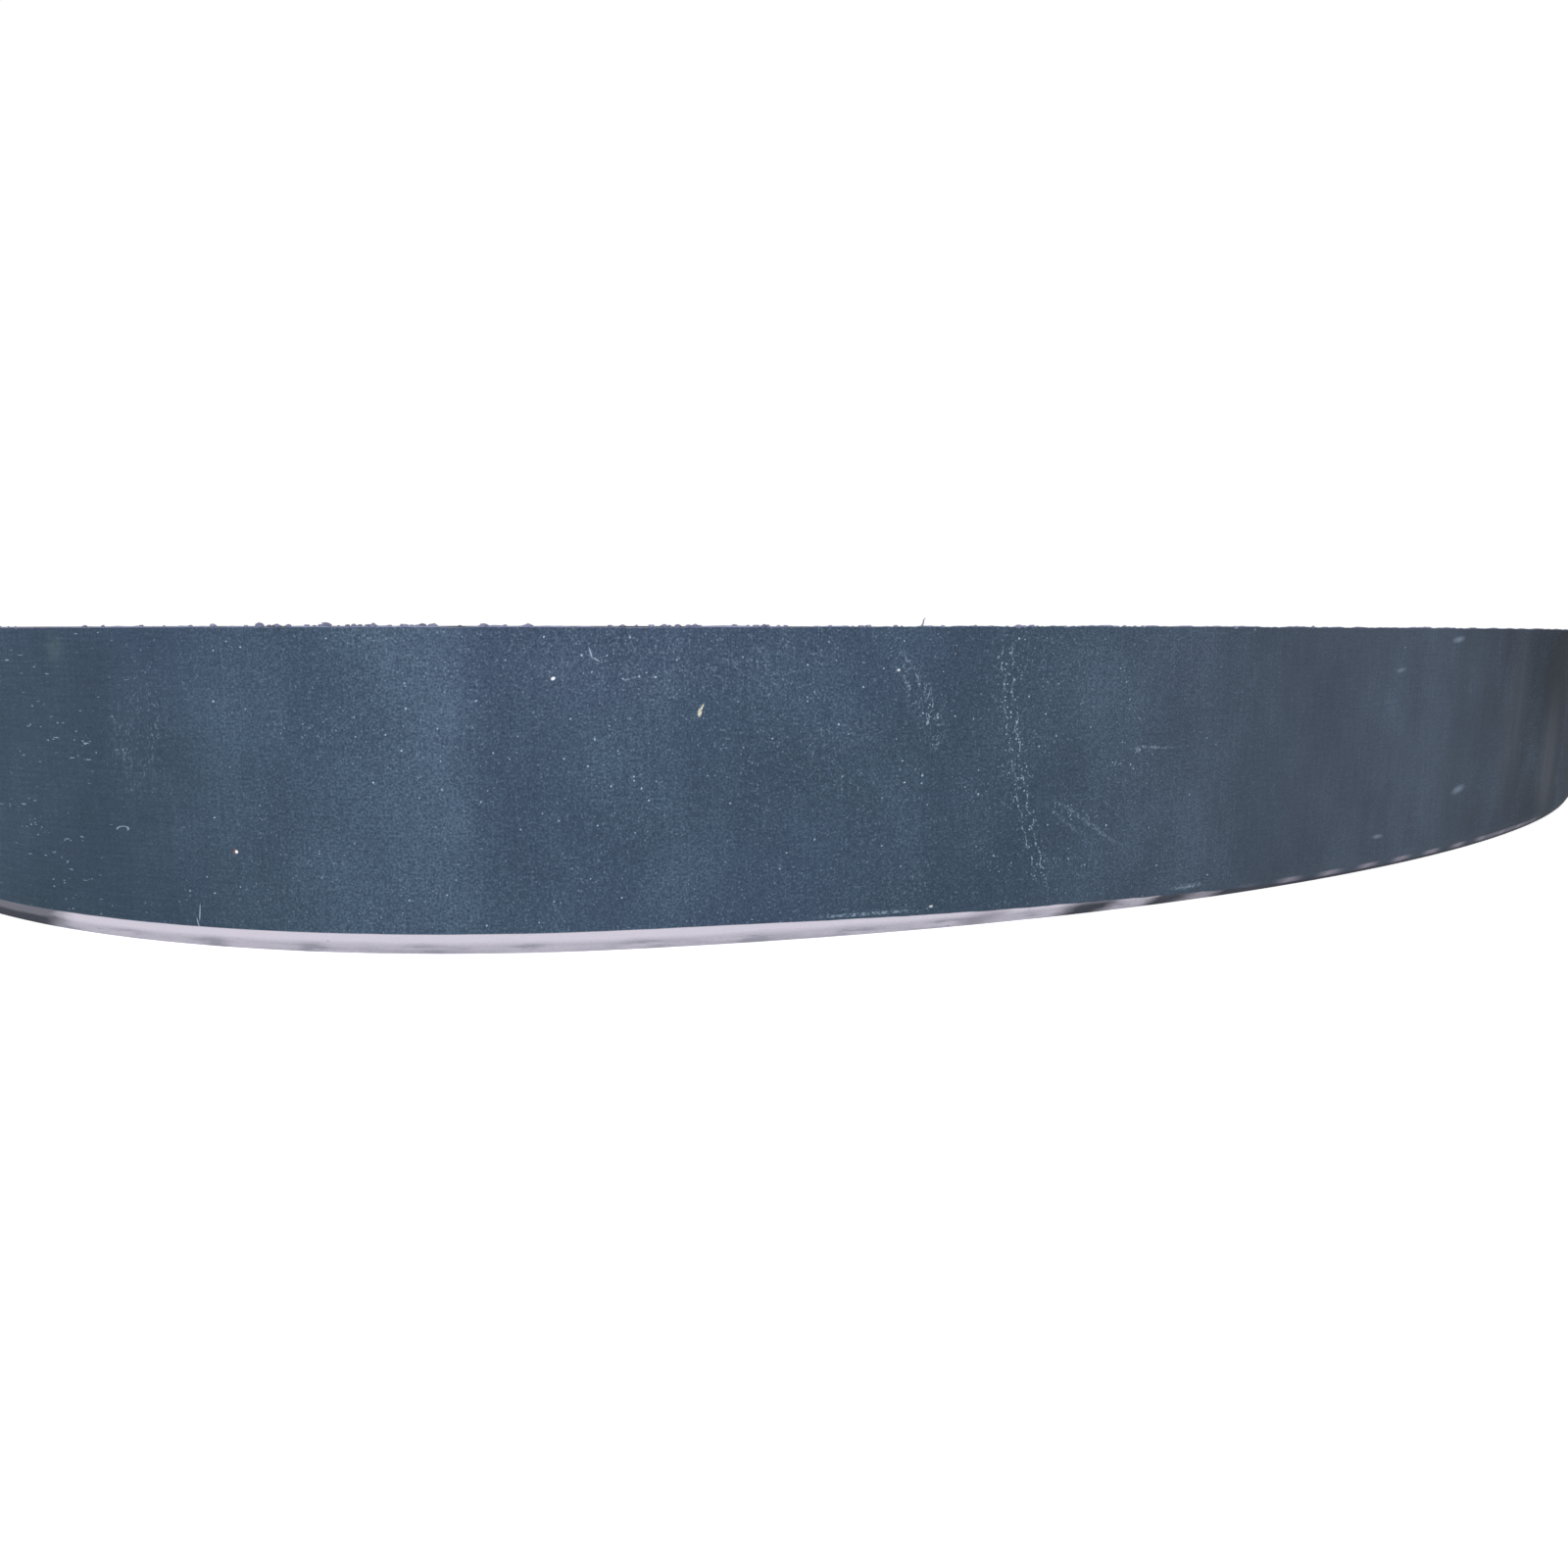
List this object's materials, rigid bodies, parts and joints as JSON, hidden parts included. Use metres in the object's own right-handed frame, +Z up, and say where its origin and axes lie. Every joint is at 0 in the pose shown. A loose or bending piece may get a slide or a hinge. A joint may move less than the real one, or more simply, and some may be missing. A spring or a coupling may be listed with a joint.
{
  "type": "rubber track",
  "caption": "Endless smooth-faced rubber track lying on its side edge: an oval loop with a plain bevelled outer cover, inner drive lugs and guide horns, and steel cords inside.",
  "frame": {"origin": "middle of the loop, on the surface that the lower side edge rests on", "axes": "+X along the long axis of the oval, -Y towards the side the picture shows, +Z up, along the track's width"},
  "size_m": [1.9738, 1.219, 0.18],
  "materials": {
    "cover_rubber": "matte, fine cloth-like grain, dusty",
    "ply_fabric": "rubberised woven ply",
    "cord_steel": "brass-coated stranded steel",
    "carcass_rubber": "matte moulded rubber",
    "lug_rubber": "matte moulded rubber, slightly polished crowns"
  },
  "bodies": {
    "flex_01": {"tread_cover_01": "cover_rubber", "breaker_ply_01": "ply_fabric", "steel_cords_01": "cord_steel", "carcass_01": "carcass_rubber", "drive_lugs_01": "lug_rubber"},
    "flex_02": {"tread_cover_02": "cover_rubber", "breaker_ply_02": "ply_fabric", "steel_cords_02": "cord_steel", "carcass_02": "carcass_rubber", "drive_lugs_02": "lug_rubber"},
    "flex_03": {"tread_cover_03": "cover_rubber", "breaker_ply_03": "ply_fabric", "steel_cords_03": "cord_steel", "carcass_03": "carcass_rubber", "drive_lugs_03": "lug_rubber"},
    "flex_04": {"tread_cover_04": "cover_rubber", "breaker_ply_04": "ply_fabric", "steel_cords_04": "cord_steel", "carcass_04": "carcass_rubber", "drive_lugs_04": "lug_rubber"},
    "flex_05": {"tread_cover_05": "cover_rubber", "breaker_ply_05": "ply_fabric", "steel_cords_05": "cord_steel", "carcass_05": "carcass_rubber", "drive_lugs_05": "lug_rubber"},
    "flex_06": {"tread_cover_06": "cover_rubber", "breaker_ply_06": "ply_fabric", "steel_cords_06": "cord_steel", "carcass_06": "carcass_rubber", "drive_lugs_06": "lug_rubber"},
    "flex_07": {"tread_cover_07": "cover_rubber", "breaker_ply_07": "ply_fabric", "steel_cords_07": "cord_steel", "carcass_07": "carcass_rubber", "drive_lugs_07": "lug_rubber"},
    "flex_08": {"tread_cover_08": "cover_rubber", "breaker_ply_08": "ply_fabric", "steel_cords_08": "cord_steel", "carcass_08": "carcass_rubber", "drive_lugs_08": "lug_rubber"},
    "flex_09": {"tread_cover_09": "cover_rubber", "breaker_ply_09": "ply_fabric", "steel_cords_09": "cord_steel", "carcass_09": "carcass_rubber", "drive_lugs_09": "lug_rubber"},
    "flex_10": {"tread_cover_10": "cover_rubber", "breaker_ply_10": "ply_fabric", "steel_cords_10": "cord_steel", "carcass_10": "carcass_rubber", "drive_lugs_10": "lug_rubber"},
    "flex_11": {"tread_cover_11": "cover_rubber", "breaker_ply_11": "ply_fabric", "steel_cords_11": "cord_steel", "carcass_11": "carcass_rubber", "drive_lugs_11": "lug_rubber"},
    "flex_12": {"tread_cover_12": "cover_rubber", "breaker_ply_12": "ply_fabric", "steel_cords_12": "cord_steel", "carcass_12": "carcass_rubber", "drive_lugs_12": "lug_rubber"}
  },
  "joints": [
    {"name": "bend_01_02", "type": "hinge", "parent": "flex_01", "child": "flex_02", "pos_m": [0.20949, -0.58347, 0.09], "axis": [0, 0, 1], "range_deg": [-9.6, 8], "stiffness_Nm_per_rad": 2},
    {"name": "bend_02_03", "type": "hinge", "parent": "flex_02", "child": "flex_03", "pos_m": [0.61416, -0.47617, 0.09], "axis": [0, 0, 1], "range_deg": [-2.4, 2], "stiffness_Nm_per_rad": 2},
    {"name": "bend_03_04", "type": "hinge", "parent": "flex_03", "child": "flex_04", "pos_m": [0.92129, -0.20109, 0.09], "axis": [0, 0, 1], "range_deg": [-10, 12], "stiffness_Nm_per_rad": 2},
    {"name": "bend_04_05", "type": "hinge", "parent": "flex_04", "child": "flex_05", "pos_m": [0.92129, 0.20109, 0.09], "axis": [0, 0, 1], "range_deg": [-10, 12], "stiffness_Nm_per_rad": 2},
    {"name": "bend_01_12", "type": "hinge", "parent": "flex_01", "child": "flex_12", "pos_m": [-0.20949, -0.58347, 0.09], "axis": [0, 0, -1], "range_deg": [-9.6, 8], "stiffness_Nm_per_rad": 2},
    {"name": "bend_12_11", "type": "hinge", "parent": "flex_12", "child": "flex_11", "pos_m": [-0.61416, -0.47617, 0.09], "axis": [0, 0, -1], "range_deg": [-2.4, 2], "stiffness_Nm_per_rad": 2},
    {"name": "bend_11_10", "type": "hinge", "parent": "flex_11", "child": "flex_10", "pos_m": [-0.92129, -0.20109, 0.09], "axis": [0, 0, -1], "range_deg": [-10, 12], "stiffness_Nm_per_rad": 2},
    {"name": "bend_10_09", "type": "hinge", "parent": "flex_10", "child": "flex_09", "pos_m": [-0.92129, 0.20109, 0.09], "axis": [0, 0, -1], "range_deg": [-10, 12], "stiffness_Nm_per_rad": 2},
    {"name": "bend_09_08", "type": "hinge", "parent": "flex_09", "child": "flex_08", "pos_m": [-0.61416, 0.47617, 0.09], "axis": [0, 0, -1], "range_deg": [-2.4, 2], "stiffness_Nm_per_rad": 2},
    {"name": "bend_08_07", "type": "hinge", "parent": "flex_08", "child": "flex_07", "pos_m": [-0.20949, 0.58347, 0.09], "axis": [0, 0, -1], "range_deg": [-9.6, 8], "stiffness_Nm_per_rad": 2},
    {"name": "bend_07_06", "type": "hinge", "parent": "flex_07", "child": "flex_06", "pos_m": [0.20949, 0.58347, 0.09], "axis": [0, 0, -1], "range_deg": [-9.6, 8], "stiffness_Nm_per_rad": 2}
  ],
  "couplings": [
    {"joint": "bend_01_02", "follows": "bend_11_10", "ratio": -0.8},
    {"joint": "bend_02_03", "follows": "bend_11_10", "ratio": -0.2},
    {"joint": "bend_03_04", "follows": "bend_11_10", "ratio": 1},
    {"joint": "bend_04_05", "follows": "bend_11_10", "ratio": 1},
    {"joint": "bend_01_12", "follows": "bend_11_10", "ratio": -0.8},
    {"joint": "bend_12_11", "follows": "bend_11_10", "ratio": -0.2},
    {"joint": "bend_10_09", "follows": "bend_11_10", "ratio": 1},
    {"joint": "bend_09_08", "follows": "bend_11_10", "ratio": -0.2},
    {"joint": "bend_08_07", "follows": "bend_11_10", "ratio": -0.8},
    {"joint": "bend_07_06", "follows": "bend_11_10", "ratio": -0.8}
  ]
}
